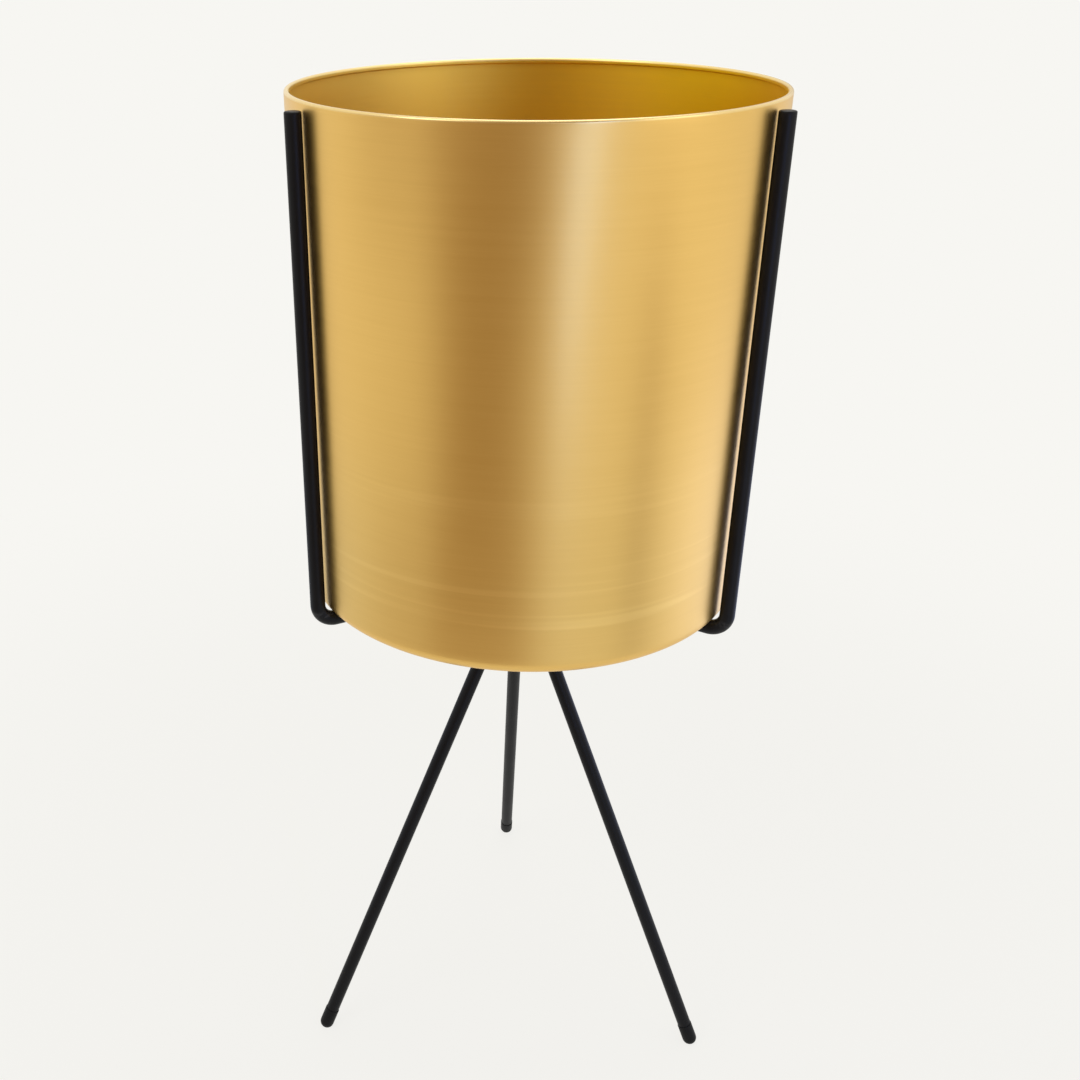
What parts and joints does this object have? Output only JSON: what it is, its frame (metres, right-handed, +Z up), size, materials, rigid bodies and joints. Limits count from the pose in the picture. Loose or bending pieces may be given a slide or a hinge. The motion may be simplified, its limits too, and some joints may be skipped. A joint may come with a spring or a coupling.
{
  "type": "planter with stand",
  "caption": "Round brass-finish metal pot that lifts out of a black stand, whose bent steel rods make the upright arms, the support under the pot and the splayed legs.",
  "frame": {"origin": "on the floor under the pot's axis, in the middle of the foot circle", "axes": "+Z up along the pot's axis; -Y is the front; one rod stands behind at +Y, the others at the front right and front left"},
  "size_m": [0.24, 0.2563, 0.56],
  "materials": {
    "brushed_brass": "brushed round the pot, lacquered, satin",
    "black_coat": "satin powder coat",
    "black_vinyl": "dipped vinyl, soft sheen"
  },
  "bodies": {
    "stand": {"rod_right": "black_coat", "rod_left": "black_coat", "rod_back": "black_coat", "hub_weld": "black_coat", "foot_tip_right": "black_vinyl", "foot_tip_left": "black_vinyl", "foot_tip_back": "black_vinyl"},
    "pot": {"pot_shell": "brushed_brass"}
  },
  "joints": [
    {"name": "pot_lift", "type": "slide", "parent": "stand", "child": "pot", "axis": [0, 0, 1], "range_m": [0, 0.27]}
  ]
}
